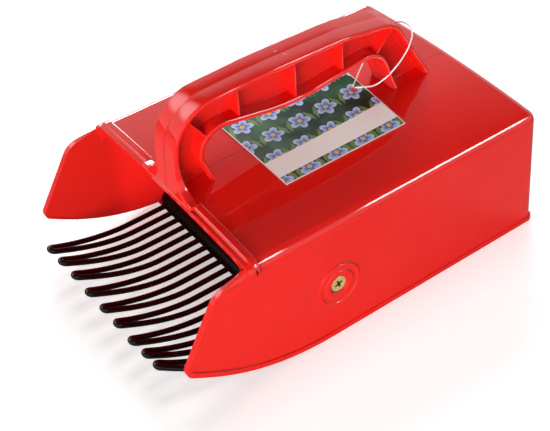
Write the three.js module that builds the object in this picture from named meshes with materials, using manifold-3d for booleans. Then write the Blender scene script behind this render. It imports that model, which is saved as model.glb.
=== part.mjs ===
// Berry picking rake: a red moulded scoop with a handle, a comb of black dipped wire loops,
// a sheet metal floor held by two side screws, and a card tag on a nylon string.
// Millimetres, +Z up, the comb points along -Y. The ground under the resting rake is z = 0.
import * as THREE from "three";
import { mergeVertices } from "three/addons/utils/BufferGeometryUtils.js";
import { ConvexGeometry } from "three/addons/geometries/ConvexGeometry.js";
import Module from "manifold-3d";

const wasm = await Module();
wasm.setup();

// The scoop: sizes are measured at its deck, y = 0 is the deck's front edge
const topWidth = 140;
const topLength = 182;
const edgeHeight = 73.2;
const crownRise = 2.7;
const sideDraftShare = 0.0406;
const backDraftShare = 0.0262;
const wall = 2.5;
const deckRadius = 5;
const uprightRadius = 4;
const mouthRadius = 10;
const rimWidth = 3;
const rimProud = 0.8;

// The cheeks that reach forward on both sides of the comb
const cheekTopDrop = 0.8;
const browReach = 7.9;
const browDrop = 5.6;
const noseReach = 20.3;
const noseDrop = 9.6;
const tipReach = 43.7;
const tipHeight = 29.5;
const soleStart = 44;
const soleSag = 1.7;
const browRadius = 7;
const tipRadius = 6;
const soleTangentShare = 0.45;
const soleFirstShare = 0.09;

// The bead along the deck's front edge
const lipFront = 3;
const lipBack = 4;
const lipProud = 1.6;
const lipStep = 0.6;
const lipHeight = 6;

// The handle: an I section bent into a loop, centred over the deck, its rises measured from the deck
const handleWidth = 19.2;
const webThickness = 3;
const flangeThickness = 2.8;
const ribThickness = 1.6;
const gripRise = 49;
const gripTopPlace = 74;
const gripFrontDrop = 5.2;
const gripRearDrop = 8.9;
const frontLean = 5.8;
const kneePlace = 134;
const rearFoot = 158.9;
const frontBend = 15;
const rearBend = 16;
const gripBow = 200;
const gapFront = 22.8;
const gapNeck = 15.8;
const gapNeckRise = 14.1;
const gapFrontRise = 34.3;
const gapLowRise = 22.9;
const gapLowPlace = 70;
const gapRear = 127;
const gapRearRise = 29.3;
const gapFoot = 139;
const gapBend = 8.5;
const gapNeckBend = 20;
const gapBow = 100;
const ribPlaces = [37.5, 71.6, 101.3];
const flareWidth = 40;
const flareHeight = 12;
const flareDepth = 4.5;

// The comb: nine hairpin loops of dipped wire in a dipped cross bar
const wireDiameter = 3.1;
const loopCount = 9;
const combSideGap = 9.32;
const combReach = 48.6;
const wireHeight = 5.1;
const tipRise = 14.8;
const tipBendRadius = 1.75;
const bendStart = 0;
const barFront = 26;
const barDepth = 13.4;
const barBottom = 2.3;
const barHeight = 6.9;
const barRadius = 2.5;
const barEndRadius = 5;
const barEndGap = 2;
const wireSeat = 8;
const tipShiftShares = [0.38, 0.06, -0.05, 0.1, 0.15, 0, 0.04, -0.38, -1];
const tipReachShares = [1.012, 1.006, 0.998, 1.004, 0.996, 0.992, 0.996, 0.974, 0.964];

// The sheet metal floor with its upturned ears
const sheet = 0.8;
const floorBottom = 1.2;
const earHeight = 9;
const earTop = 42;
const earWidth = 18;
const earShoulder = 10;
const rearTurnUp = 11;
const barRearGap = 2.5;

// The two side screws with their nuts, and the rivets that join comb and floor
const screwPlace = 48.4;
const screwHeight = 33;
const screwDiameter = 4.5;
const screwHead = 9;
const screwLength = 11;
const screwSink = 0.2;
const crossWidth = 1.1;
const crossLength = 5.2;
const crossDepth = 1.4;
const bossRadius = 13;
const bossProud = 0.5;
const ringRadius = 9.2;
const ringProud = 0.5;
const dishRadius = 6;
const nutFlats = 8;
const nutThickness = 3.6;
const rivetDiameter = 3;
const rivetHead = 6;
const rivetHeadHeight = 0.6;
const rivetDome = 1.5;
const rivetSpacing = 46;
const rivetCount = 3;

// The card tag and its string
const tagWidth = 58;
const tagLength = 76;
const tagThickness = 0.5;
const tagLeft = -22.5;
const tagFront = 45;
const tagHole = 4;
const tagHolePlace = 0;
const tagHoleInset = 5.5;
const tagLift = 6.2;
const stringDiameter = 0.8;

// Shared clearances and the fineness of round forms
const gap = 0.3;
const overrun = 20;
const weld = 0.0001;
const arcSteps = 5;
const crownSteps = 12;
const soleSteps = 12;
const turnSteps = 32;

const halfTop = topWidth / 2;
const deckTop = edgeHeight + crownRise;
const halfWidthAt = (z) => halfTop + sideDraftShare * (edgeHeight - z);
const backAt = (z) => topLength + backDraftShare * (edgeHeight - z);
const deckAt = (x) => edgeHeight + crownRise * (1 - (x / halfTop) ** 2);
const gripTop = deckTop + gripRise;
const gapFrontTop = deckTop + gapFrontRise;
const gapLow = deckTop + gapLowRise;
const gapRearTop = deckTop + gapRearRise;
const wirePitch = (halfWidthAt(wireHeight) - wall - combSideGap) / (loopCount - 1 / 2);

// A closed mesh as a solid for joining and cutting, and back again
function solid(geometry) {
  const bare = geometry.clone();
  bare.deleteAttribute("normal");
  bare.deleteAttribute("uv");
  const merged = mergeVertices(bare, weld);
  return new wasm.Manifold(new wasm.Mesh({
    numProp: 3,
    vertProperties: Float32Array.from(merged.attributes.position.array),
    triVerts: Uint32Array.from(merged.index.array),
  }));
}

function geometryOf(body) {
  const mesh = body.getMesh();
  const geometry = new THREE.BufferGeometry();
  geometry.setAttribute("position", new THREE.BufferAttribute(mesh.vertProperties, mesh.numProp));
  geometry.setIndex(new THREE.BufferAttribute(mesh.triVerts, 1));
  geometry.computeVertexNormals();
  return geometry;
}

// Outlines are lists of Vector2, and prisms stand them up along one axis
const point = (u, v) => new THREE.Vector2(u, v);

function prism(outline, depth) {
  return new THREE.ExtrudeGeometry(new THREE.Shape(outline), { depth, bevelEnabled: false, steps: 1 });
}

function alongX(outline, from, to) {
  const geometry = prism(outline, to - from);
  geometry.applyMatrix4(new THREE.Matrix4().set(0, 0, 1, from, 1, 0, 0, 0, 0, 1, 0, 0, 0, 0, 0, 1));
  return solid(geometry);
}

function alongY(outline, from, to) {
  const geometry = prism(outline, to - from);
  geometry.applyMatrix4(new THREE.Matrix4().set(1, 0, 0, 0, 0, 0, -1, to, 0, 1, 0, 0, 0, 0, 0, 1));
  return solid(geometry);
}

function alongZ(outline, from, to) {
  const geometry = prism(outline, to - from);
  geometry.translate(0, 0, from);
  return solid(geometry);
}

// A corner is a point with a radius: the path is the corners with their arcs put in
function rounded(corners) {
  const path = [];
  corners.forEach(([u, v, radius], index) => {
    const here = point(u, v);
    if (!radius) {
      path.push(here);
      return;
    }
    const before = point(corners[index - 1][0], corners[index - 1][1]).sub(here).normalize();
    const after = point(corners[index + 1][0], corners[index + 1][1]).sub(here).normalize();
    const half = Math.acos(THREE.MathUtils.clamp(before.dot(after), -1, 1)) / 2;
    const centre = before.clone().add(after).normalize().multiplyScalar(radius / Math.sin(half)).add(here);
    const start = here.clone().addScaledVector(before, radius / Math.tan(half)).sub(centre);
    const end = here.clone().addScaledVector(after, radius / Math.tan(half)).sub(centre);
    const turn = Math.atan2(start.cross(end), start.dot(end));
    for (let step = 0; step <= arcSteps; step += 1) {
      path.push(start.clone().rotateAround(point(0, 0), turn * step / arcSteps).add(centre));
    }
  });
  return path;
}

// A path moved sideways, to its left where the distance is positive
function beside(path, distance) {
  return path.map((here, index) => {
    const before = path[Math.max(index - 1, 0)];
    const after = path[Math.min(index + 1, path.length - 1)];
    const first = here.clone().sub(before).normalize();
    const second = after.clone().sub(here).normalize();
    const way = first.clone().add(second).normalize();
    const stretch = distance / Math.max(way.dot(index ? first : second), 1 / 2);
    return point(here.x - way.y * stretch, here.y + way.x * stretch);
  });
}

// A straight bar of given thickness between two points of an outline
function strip(from, to, thickness) {
  return [...beside([from, to], -thickness / 2), ...beside([from, to], thickness / 2).reverse()];
}

// A turned form: the profile is radius and height, and the axis lies along +X
function turned(profile, steps = turnSteps) {
  const geometry = new THREE.LatheGeometry(profile.map(([radius, height]) => point(radius, height)), steps);
  geometry.rotateZ(-Math.PI / 2);
  return solid(geometry);
}

// The scoop's outside, grown or shrunk: leaning sides and back with rounded upright corners
function leaningBlock(grow) {
  const corners = [];
  const radius = Math.max(uprightRadius + grow, weld);
  for (const z of [-overrun, deckTop + overrun]) {
    const half = halfWidthAt(z) + grow;
    const back = backAt(z) + grow;
    for (const side of [-1, 1]) {
      corners.push(new THREE.Vector3(side * half, -tipReach - overrun, z));
      for (let step = 0; step <= arcSteps; step += 1) {
        const angle = Math.PI / 2 * step / arcSteps;
        const x = side * (half - radius + radius * Math.cos(angle));
        corners.push(new THREE.Vector3(x, back - radius + radius * Math.sin(angle), z));
      }
    }
  }
  return solid(new ConvexGeometry(corners));
}

// The deck's section across: a crown with rounded edges, open to below
function deckSection(grow, radius) {
  const right = [];
  const middle = halfWidthAt(edgeHeight - radius) + grow - radius;
  const height = deckAt(middle) + grow - radius;
  for (let step = 0; step <= arcSteps; step += 1) {
    const angle = Math.PI / 2 * step / arcSteps;
    right.push(point(middle + radius * Math.cos(angle), height + radius * Math.sin(angle)));
  }
  const crown = [];
  for (let step = 1; step < crownSteps; step += 1) {
    const x = middle * (1 - 2 * step / crownSteps);
    crown.push(point(x, deckAt(x) + grow));
  }
  const left = right.map((corner) => point(-corner.x, corner.y)).reverse();
  const far = topWidth;
  return [point(-far, -overrun), point(far, -overrun), point(far, height), ...right, ...crown, ...left,
    point(-far, height)];
}

// The cheek's edge from the deck's front, round the nose and the tip, to the sole and the back
function cheekEdge() {
  const tip = point(-tipReach, tipHeight);
  const level = point(soleStart - soleTangentShare * (tipReach + soleStart), 0);
  const middle = tip.clone().lerp(level, 1 / 2).add(point(0, -soleSag));
  const sole = new THREE.CubicBezierCurve(tip, middle, level, point(soleStart, 0));
  const curve = [];
  for (let step = 0; step <= soleSteps; step += 1) {
    const share = soleFirstShare + (1 - soleFirstShare) * step / soleSteps;
    const here = sole.getPoint(share);
    curve.push([here.x, here.y, 0]);
  }
  return rounded([
    [0, deckTop + overrun, 0],
    [0, deckTop - cheekTopDrop, browRadius / 2],
    [-browReach, deckTop - browDrop, browRadius],
    [-noseReach, deckTop - noseDrop, browRadius],
    [-tipReach, tipHeight, tipRadius],
    ...curve,
    [topLength + overrun, 0, 0],
  ]);
}

const inFrontOfEdge = (inset) => [...beside(cheekEdge(), inset), point(topLength + overrun, deckTop + overrun)];

// Screws stand square to the leaning side walls
const lean = Math.atan(sideDraftShare);
function atScrew(side, offset = 0) {
  const place = new THREE.Matrix4().makeTranslation(side * halfWidthAt(screwHeight), screwPlace, screwHeight);
  if (side < 0) place.multiply(new THREE.Matrix4().makeRotationZ(Math.PI));
  place.multiply(new THREE.Matrix4().makeRotationY(-lean));
  return place.multiply(new THREE.Matrix4().makeTranslation(offset, 0, 0));
}

const placed = (body, matrix) => body.transform(matrix.toArray());

function bodyShell() {
  const reach = topLength + overrun;
  const front = -tipReach - overrun;
  const wide = (outline) => alongX(outline, -topWidth, topWidth);
  const edge = wide(inFrontOfEdge(0));
  const shoulder = deckTop - deckRadius;
  const backFillet = wide(rounded([
    [front, -overrun, 0], [reach, -overrun, 0], [reach, shoulder, 0], [backAt(shoulder), shoulder, 0],
    [backAt(deckTop), deckTop, deckRadius], [front, deckTop, 0],
  ]));
  const deck = (grow, radius) => alongY(deckSection(grow, radius), front, reach);
  const outer = leaningBlock(0).intersect(deck(0, deckRadius)).intersect(edge).intersect(backFillet);
  const rim = leaningBlock(rimProud).intersect(deck(0, deckRadius)).intersect(edge)
    .subtract(wide(inFrontOfEdge(rimWidth)));
  const room = leaningBlock(-wall).intersect(deck(-wall, mouthRadius));
  const mouth = leaningBlock(-wall).intersect(wide([
    point(front, -overrun), point(0, -overrun), point(0, deckTop + overrun), point(front, deckTop + overrun),
  ]));
  const low = deckTop - lipHeight;
  const lipBlock = (inset) => wide([
    point(-lipFront + inset, low), point(lipBack - inset, low),
    point(lipBack - inset, deckTop + overrun), point(-lipFront + inset, deckTop + overrun),
  ]);
  const bead = (proud, inset) => leaningBlock(Math.min(proud, rimProud))
    .intersect(deck(proud, deckRadius + proud)).intersect(lipBlock(inset));
  const lip = bead(lipProud, lipStep).add(bead(lipProud - lipStep, 0)).subtract(room);
  let shell = outer.add(rim).subtract(room).subtract(mouth).add(lip);
  const boss = turned([[0, -wall / 2], [bossRadius, -wall / 2], [bossRadius, 0],
    [bossRadius - bossProud, bossProud], [ringRadius + ringProud, bossProud],
    [ringRadius, bossProud + ringProud], [0, bossProud + ringProud]]);
  const shankHole = screwDiameter / 2 + gap;
  const headHole = screwHead / 2 + gap;
  const sink = headHole - shankHole;
  const recess = turned([[0, -wall - overrun], [shankHole, -wall - overrun], [shankHole, -screwSink - gap - sink],
    [headHole, -screwSink - gap], [headHole, 0], [dishRadius, 0], [dishRadius, overrun], [0, overrun]]);
  for (const side of [-1, 1]) {
    shell = shell.add(placed(boss, atScrew(side))).subtract(placed(recess, atScrew(side)));
  }
  return shell;
}

// The handle's outer and inner contours, from the front foot to the rear foot
const footDepth = deckTop - deckRadius;
const outerContour = () => rounded([
  [-lipFront, footDepth, 0],
  [-lipFront + frontLean, gripTop - gripFrontDrop, frontBend],
  [gripTopPlace, gripTop, gripBow],
  [kneePlace, gripTop - gripRearDrop, rearBend],
  [rearFoot, footDepth, 0],
]);
const innerContour = () => rounded([
  [gapFront, footDepth, 0],
  [gapNeck, deckTop + gapNeckRise, gapNeckBend],
  [gapNeck, gapFrontTop, gapBend],
  [gapLowPlace, gapLow, gapBow],
  [gapRear, gapRearTop, gapBend],
  [gapFoot, footDepth, 0],
]);

// Each rib crosses the pocket between two places, front to rear, top end then bottom end
const ribEnds = () => [
  [point(gapNeck - flangeThickness * 2, gripTop), point(gapNeck + flangeThickness, gapFrontTop - gapBend)],
  ...ribPlaces.map((place) => [point(place, gripTop), point(place, gapLow - flangeThickness)]),
  [point(kneePlace, gripTop - gripRearDrop), point(gapRear - flangeThickness, gapRearTop - ribThickness)],
];

function handle() {
  const half = handleWidth / 2;
  const full = [...outerContour(), ...innerContour().reverse()];
  const underOuter = beside(outerContour(), -flangeThickness);
  const overInner = beside(innerContour(), flangeThickness);
  const inside = [...underOuter, ...overInner.reverse()];
  let pocket = alongX(inside, webThickness / 2, half + overrun);
  for (const [top, bottom] of ribEnds()) {
    pocket = pocket.subtract(alongX(strip(top, bottom, ribThickness), 0, half));
  }
  const mirrored = pocket.transform(new THREE.Matrix4().makeScale(-1, 1, 1).toArray());
  let grip = alongX(full, -half, half).subtract(pocket).subtract(mirrored);
  const flare = [];
  for (let step = 0; step <= arcSteps; step += 1) {
    const angle = Math.PI / 2 * step / arcSteps;
    const x = flareWidth / 2 - (flareWidth / 2 - half) * Math.sin(angle);
    flare.push(point(x, deckTop + lipProud / 2 + flareHeight * (1 - Math.cos(angle))));
  }
  const skirt = [point(-flareWidth / 2, footDepth), point(flareWidth / 2, footDepth), ...flare,
    ...flare.map((corner) => point(-corner.x, corner.y)).reverse()];
  grip = grip.add(alongY(skirt, -lipFront, flareDepth - lipFront));
  const overDeck = alongY(deckSection(gap, deckRadius), -tipReach, topLength);
  const overLip = alongY(deckSection(lipProud + gap, deckRadius), -lipFront - gap, lipBack + gap);
  return grip.subtract(overDeck).subtract(overLip);
}

// A tube whose rings stand exactly at the given points
class Route extends THREE.Curve {
  constructor(points) {
    super();
    this.points = points;
  }

  getPoint(share, target = new THREE.Vector3()) {
    const place = share * (this.points.length - 1);
    const index = Math.min(Math.floor(place), this.points.length - 2);
    return target.lerpVectors(this.points[index], this.points[index + 1], place - index);
  }

  getPointAt(share, target) {
    return this.getPoint(share, target);
  }

  getTangentAt(share, target) {
    return this.getTangent(share, target);
  }
}

function tube(points, diameter, sides) {
  const ring = [];
  for (let side = 0; side < sides; side += 1) {
    const angle = 2 * Math.PI * (side + 1 / 2) / sides;
    ring.push(point(diameter / 2 * Math.cos(angle), diameter / 2 * Math.sin(angle)));
  }
  const settings = { steps: points.length - 1, bevelEnabled: false, extrudePath: new Route(points) };
  return new THREE.ExtrudeGeometry(new THREE.Shape(ring), settings);
}

// One hairpin loop: two legs from the bar that rise to a narrow bend at the tip
const wireSides = 8;
const legSteps = 9;
const bendSteps = 6;
const risePower = 1.72;
const rootOf = (loop) => (loop - (loopCount - 1) / 2) * 2 * wirePitch;
const reachOf = (loop) => combReach * tipReachShares[loop];

function tinePoints(loop) {
  const root = rootOf(loop);
  const tip = root + wirePitch * tipShiftShares[loop];
  const bendCentre = -reachOf(loop) + tipBendRadius;
  const legs = [-1, 1].map((side) => {
    const leg = [new THREE.Vector3(root + side * wirePitch / 2, barFront + wireSeat - gap, wireHeight)];
    for (let step = 0; step <= legSteps; step += 1) {
      const share = step / legSteps;
      const y = bendStart + (bendCentre - bendStart) * share;
      const from = root + side * wirePitch / 2;
      const x = from + (tip + side * tipBendRadius - from) * share ** risePower;
      leg.push(new THREE.Vector3(x, y, wireHeight + tipRise * share ** risePower));
    }
    return leg;
  });
  const slope = tipRise * risePower / (bendStart - bendCentre);
  const bend = [];
  for (let step = 1; step < bendSteps; step += 1) {
    const angle = Math.PI * step / bendSteps;
    const ahead = tipBendRadius * Math.sin(angle);
    const x = tip - tipBendRadius * Math.cos(angle);
    bend.push(new THREE.Vector3(x, bendCentre - ahead, wireHeight + tipRise + ahead * slope));
  }
  return [...legs[0], ...bend, ...legs[1].reverse()];
}

function combBar() {
  const half = halfWidthAt(barBottom) - wall - barEndGap;
  const top = barBottom + barHeight;
  const back = barFront + barDepth;
  const section = rounded([
    [barFront, barBottom, 0], [back, barBottom, 0], [back, top, barRadius], [barFront, top, barRadius],
    [barFront, barBottom, 0],
  ]).slice(0, -1);
  const plan = rounded([
    [0, barFront, 0], [half, barFront, barEndRadius], [half, back, barEndRadius], [-half, back, barEndRadius],
    [-half, barFront, barEndRadius], [0, barFront, 0],
  ]).slice(0, -1);
  let bar = alongX(section, -half, half).intersect(alongZ(plan, 0, top + overrun));
  const seatRadius = (wireDiameter / 2 + gap) / Math.cos(Math.PI / wireSides);
  for (let loop = 0; loop < loopCount; loop += 1) {
    for (const side of [-1, 1]) {
      const bore = new THREE.CylinderGeometry(seatRadius, seatRadius, wireSeat + overrun, wireSides);
      bore.rotateY(Math.PI / wireSides);
      bore.translate(rootOf(loop) + side * wirePitch / 2, barFront + (wireSeat - overrun) / 2, wireHeight);
      bar = bar.subtract(solid(bore));
    }
  }
  for (const x of rivetPlaces()) {
    bar = bar.subtract(rivetHole(x));
  }
  return bar;
}

const rivetPlaces = () => Array.from(
  { length: rivetCount },
  (_, index) => (index - (rivetCount - 1) / 2) * rivetSpacing,
);
const rivetRow = barFront + barDepth - rivetDiameter;

function upright(body, x, z) {
  const turn = new THREE.Matrix4().makeRotationY(-Math.PI / 2);
  return placed(body, new THREE.Matrix4().makeTranslation(x, rivetRow, z).multiply(turn));
}

function rivetHole(x) {
  const radius = rivetDiameter / 2 + gap;
  const profile = [[0, -overrun], [radius, -overrun], [radius, overrun], [0, overrun]];
  return upright(turned(profile, turnSteps / 2), x, barBottom);
}

function rivet(x) {
  const shank = rivetDiameter / 2;
  const head = rivetHead / 2;
  const under = floorBottom - gap;
  const over = barBottom + barHeight + gap;
  const profile = [[0, under - rivetHeadHeight], [head, under - rivetHeadHeight], [head, under], [shank, under],
    [shank, over], [head, over]];
  for (let step = 1; step <= arcSteps; step += 1) {
    const angle = Math.PI / 2 * step / arcSteps;
    profile.push([head * Math.cos(angle), over + rivetDome * Math.sin(angle)]);
  }
  profile[profile.length - 1][0] = 0;
  return upright(turned(profile, turnSteps / 2), x, 0);
}

// The floor: a sheet with side ears, cut out of the room between the walls
function floorTray() {
  const front = barFront + gap;
  const behindBar = barFront + barDepth + barRearGap;
  const back = topLength + overrun;
  const top = floorBottom + earHeight;
  const earFront = screwPlace - earWidth / 2;
  const earBack = screwPlace + earWidth / 2;
  const side = rounded([
    [front, floorBottom, 0], [back, floorBottom, 0], [back, floorBottom + rearTurnUp, 0],
    [earBack + 2 * earShoulder, top, 0], [earBack + earShoulder / 2, top, earShoulder / 4],
    [earBack, earTop, earShoulder / 2], [earFront + earShoulder / 4, earTop, earShoulder / 2],
    [behindBar, top, 0], [behindBar, floorBottom + sheet, 0], [front, floorBottom + sheet, 0],
  ]);
  const blank = leaningBlock(-wall - gap).intersect(alongX(side, -topWidth, topWidth));
  const inside = leaningBlock(-wall - gap - sheet).intersect(alongX([
    point(-tipReach, floorBottom + sheet), point(back, floorBottom + sheet), point(back, deckTop),
    point(-tipReach, deckTop),
  ], -topWidth, topWidth));
  let tray = blank.subtract(inside);
  const hole = turned([[0, -overrun], [screwDiameter / 2 + gap, -overrun], [screwDiameter / 2 + gap, 0], [0, 0]]);
  for (const hand of [-1, 1]) {
    tray = tray.subtract(placed(hole, atScrew(hand)));
  }
  for (const x of rivetPlaces()) {
    tray = tray.subtract(rivetHole(x));
  }
  return tray;
}

function sideScrew() {
  const head = screwHead / 2;
  const shank = screwDiameter / 2;
  const body = turned([[0, -screwLength], [shank - gap, -screwLength], [shank, -screwLength + gap],
    [shank, -screwSink - (head - shank)], [head, -screwSink], [0, -screwSink]]);
  const slot = new THREE.BoxGeometry(crossDepth * 2, crossLength, crossWidth);
  slot.translate(-screwSink, 0, 0);
  const other = slot.clone().rotateX(Math.PI / 2);
  return body.subtract(solid(slot)).subtract(solid(other));
}

function sideNut() {
  const seat = -wall - gap - sheet - gap;
  const corner = nutFlats / 2 / Math.cos(Math.PI / 6);
  const outer = turned([[0, seat - nutThickness], [corner, seat - nutThickness], [corner, seat], [0, seat]], 6);
  const bore = screwDiameter / 2 + gap;
  const hole = turned([[0, -overrun], [bore, -overrun], [bore, 0], [0, 0]]);
  return outer.subtract(hole);
}

// The tag lies on the deck and follows its crown, and the string lifts its rear left corner
function tagHeight(x, y) {
  const across = (tagLeft + tagWidth - x) / tagWidth;
  const along = Math.max((y - tagFront) / tagLength, 0);
  return deckAt(x) + gap + tagLift * across * along ** 2;
}

function hangTag() {
  const card = new THREE.BoxGeometry(tagWidth, tagLength, tagThickness, crownSteps, crownSteps, 1);
  card.translate(tagLeft + tagWidth / 2, tagFront + tagLength / 2, tagThickness / 2);
  const places = card.attributes.position;
  for (let index = 0; index < places.count; index += 1) {
    const height = tagHeight(places.getX(index), places.getY(index));
    places.setZ(index, places.getZ(index) + height);
  }
  const hole = new THREE.CylinderGeometry(tagHole / 2, tagHole / 2, overrun, turnSteps / 2);
  hole.rotateX(Math.PI / 2);
  hole.translate(tagHolePlace, tagFront + tagLength - tagHoleInset, deckTop);
  return solid(card).subtract(solid(hole));
}

// The string leaves the tag's hole, goes round the rear leg and comes back to the hole
const stringRoute = [
  [0.7, 115.8, 81.3], [3.9, 119.3, 81.8], [5.6, 124.8, 81.2], [7.8, 129.8, 84.2], [10.6, 134.2, 90.2],
  [11.5, 139.8, 96.4], [11, 144, 101.3], [7.6, 148.4, 105.8], [2.6, 149, 107.8], [-3, 147.4, 107],
  [-8, 147, 101.8], [-11.4, 143, 95.4], [-12.2, 138, 89.2], [-11, 132, 85.4], [-7.6, 126, 83.6],
  [-4, 120.8, 83], [-0.9, 115.8, 81.6],
];
const stringSteps = 78;

function tagString() {
  const curve = new THREE.CatmullRomCurve3(stringRoute.map(([x, y, z]) => new THREE.Vector3(x, y, z)));
  return tube(curve.getSpacedPoints(stringSteps), stringDiameter, wireSides);
}

// Finishes
const finish = (color, roughness, metalness = 0) => new THREE.MeshStandardMaterial({ color, roughness, metalness });
const redPlastic = () => finish(0xdc1a1c, 0.18);
const blackDip = () => finish(0x0b0b0c, 0.3);
const zincYellow = () => finish(0xcdb35a, 0.35, 1);
const sheetSteel = () => finish(0x9a9da1, 0.4, 1);
const printedCard = () => finish(0x2c5b3c, 0.45);
const clearNylon = () => finish(0xf4f4f2, 0.35);

function named(name, geometry, material) {
  const mesh = new THREE.Mesh(geometry, material);
  mesh.name = name;
  return mesh;
}

const rake = new THREE.Group();

const moulding = new THREE.Group();
moulding.add(named("body_shell", geometryOf(bodyShell()), redPlastic()));
moulding.add(named("handle", geometryOf(handle()), redPlastic()));
rake.add(moulding);

const comb = new THREE.Group();
comb.add(named("comb_bar", geometryOf(combBar()), blackDip()));
for (let loop = 0; loop < loopCount; loop += 1) {
  comb.add(named(`comb_tine_${loop + 1}`, tube(tinePoints(loop), wireDiameter, wireSides), blackDip()));
}
rake.add(comb);

const floor = new THREE.Group();
floor.add(named("floor_tray", geometryOf(floorTray()), sheetSteel()));
rivetPlaces().forEach((x, index) => {
  floor.add(named(`comb_rivet_${index + 1}`, geometryOf(rivet(x)), zincYellow()));
});
rake.add(floor);

for (const [side, hand] of [[-1, "left"], [1, "right"]]) {
  const fixing = new THREE.Group();
  fixing.applyMatrix4(atScrew(side));
  fixing.add(named(`side_screw_${hand}`, geometryOf(sideScrew()), zincYellow()));
  fixing.add(named(`side_nut_${hand}`, geometryOf(sideNut()), sheetSteel()));
  rake.add(fixing);
}

const label = new THREE.Group();
label.add(named("hang_tag", geometryOf(hangTag()), printedCard()));
label.add(named("tag_string", tagString(), clearNylon()));
rake.add(label);

// The origin is under the middle of the rake's own box, on the ground
const frontMost = -Math.max(...tipReachShares) * combReach - wireDiameter / 2;
const backMost = backAt(0) + rimProud;
rake.position.y = -(frontMost + backMost) / 2;

export default rake;
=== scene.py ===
# %% [markdown]
# # A berry picking rake
# The rake is a red plastic scoop with a handle on its deck. Black wire loops reach out of its mouth
# and comb the berries off the bush. A card tag hangs on a nylon string round the handle's rear leg.
# The construction is loaded first as a fixed frame. Every new piece is then modelled round it at its
# real size, in metres, with +Z up and the comb pointing along -Y.

from contextlib import contextmanager
from math import acos, atan, cos, pi, radians, sin, tan

import bmesh
import bpy
from mathutils import Matrix, Vector


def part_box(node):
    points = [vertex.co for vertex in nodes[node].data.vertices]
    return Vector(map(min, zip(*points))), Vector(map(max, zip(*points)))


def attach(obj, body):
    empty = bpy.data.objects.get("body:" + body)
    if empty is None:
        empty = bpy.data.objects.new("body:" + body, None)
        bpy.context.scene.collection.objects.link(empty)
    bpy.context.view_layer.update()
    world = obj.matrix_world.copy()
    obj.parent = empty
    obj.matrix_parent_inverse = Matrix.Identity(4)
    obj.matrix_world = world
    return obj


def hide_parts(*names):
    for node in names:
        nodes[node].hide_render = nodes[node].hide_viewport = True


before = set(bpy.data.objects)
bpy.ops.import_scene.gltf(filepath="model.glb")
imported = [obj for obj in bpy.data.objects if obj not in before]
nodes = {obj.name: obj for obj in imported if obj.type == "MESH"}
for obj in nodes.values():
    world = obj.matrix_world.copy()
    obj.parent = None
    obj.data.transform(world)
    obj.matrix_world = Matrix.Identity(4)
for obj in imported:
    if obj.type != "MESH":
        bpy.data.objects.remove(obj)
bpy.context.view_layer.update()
mm = 0.001

# %% [markdown]
# ## The camera
# The photograph looks down on the rake from its right front corner, through a long lens at about two
# thirds of a metre, so the edges run nearly parallel. A camera could be turned by hand until the
# picture fits. Here the directions of its three axes are worked out from two angles and from its lean
# of four degrees, and put into its matrix, because that gives the same picture every time.

# %% Camera
photo_width = 550
sensor = 36
focal_pixels = 1194.2
azimuth, elevation, roll = radians(56.77), radians(42.44), radians(-3.98)
distance = 647.1 * mm
aim = Vector((1.3, -7.6, 22.6)) * mm

backward = Vector((sin(azimuth) * cos(elevation), -cos(azimuth) * cos(elevation), sin(elevation)))
level_right = Vector((0, 0, 1)).cross(backward).normalized()
level_up = backward.cross(level_right)
right = cos(roll) * level_right + sin(roll) * level_up
up = cos(roll) * level_up - sin(roll) * level_right

lens = bpy.data.cameras.new("photo_camera")
lens.sensor_width = sensor
lens.lens = focal_pixels / photo_width * sensor
lens.clip_start = 10 * mm
camera = bpy.data.objects.new("photo_camera", lens)
facing = Matrix((right, up, backward)).transposed().to_4x4()
camera.matrix_world = Matrix.Translation(aim + distance * backward) @ facing
bpy.context.scene.collection.objects.link(camera)
bpy.context.scene.camera = camera
bpy.context.scene.view_settings.view_transform = "Standard"
print("camera stands at", [round(value, 3) for value in camera.location], "lens", round(lens.lens, 1), "mm")

# %% [markdown]
# ## Working by hand in code
# Every piece starts as a primitive, is shaped in edit mode, and is then joined to or cut by others
# with modifiers. An operator acts on whatever is selected, so one helper clears the selection and
# takes one piece, and another picks parts of its mesh by a test on their place or direction. A third
# puts a piece's place and turn into its mesh, so that its object rests at the origin, and the last
# one starts a piece as a cube.

# %% Helpers for taking, picking and extruding
def take(piece):
    bpy.ops.object.select_all(action="DESELECT")
    piece.select_set(True)
    bpy.context.view_layer.objects.active = piece


@contextmanager
def editing(piece):
    take(piece)
    bpy.ops.object.mode_set(mode="EDIT")
    yield
    bpy.ops.object.mode_set(mode="OBJECT")


def pick(kind, wanted=lambda item: True):
    bpy.ops.mesh.select_mode(type=kind)
    bpy.ops.mesh.select_all(action="DESELECT")
    mesh = bpy.context.object.data
    shape = bmesh.from_edit_mesh(mesh)
    for item in {"VERT": shape.verts, "EDGE": shape.edges, "FACE": shape.faces}[kind]:
        if wanted(item):
            item.select_set(True)
    shape.select_flush_mode()
    bmesh.update_edit_mesh(mesh)


def push(step):
    bpy.ops.mesh.extrude_region_move(TRANSFORM_OT_translate={"value": step})


def start_at_origin(piece, name):
    piece.name = piece.data.name = name
    take(piece)
    bpy.ops.object.transform_apply(location=True, rotation=True, scale=True)
    return piece


def cube(name, size, place=(0, 0, 0), turn=(0, 0, 0)):
    bpy.ops.object.select_all(action="DESELECT")
    bpy.ops.mesh.primitive_cube_add(size=1, location=place, rotation=turn, scale=size)
    return start_at_origin(bpy.context.object, name)


bpy.ops.object.select_all(action="DESELECT")
print("nothing is selected, and modelling can begin")

# %% [markdown]
# Flat outlines come next: a plane is merged to one point, which is extruded from corner to corner.
# The loop is filled, its corners are rounded with a vertex bevel, and the face is pulled to its depth.
# An outline could be a curve as well, but a mesh takes another radius at each corner and can be
# inset. Cuts and joins are Boolean modifiers, applied at once, and the tool piece is thrown away.

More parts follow.
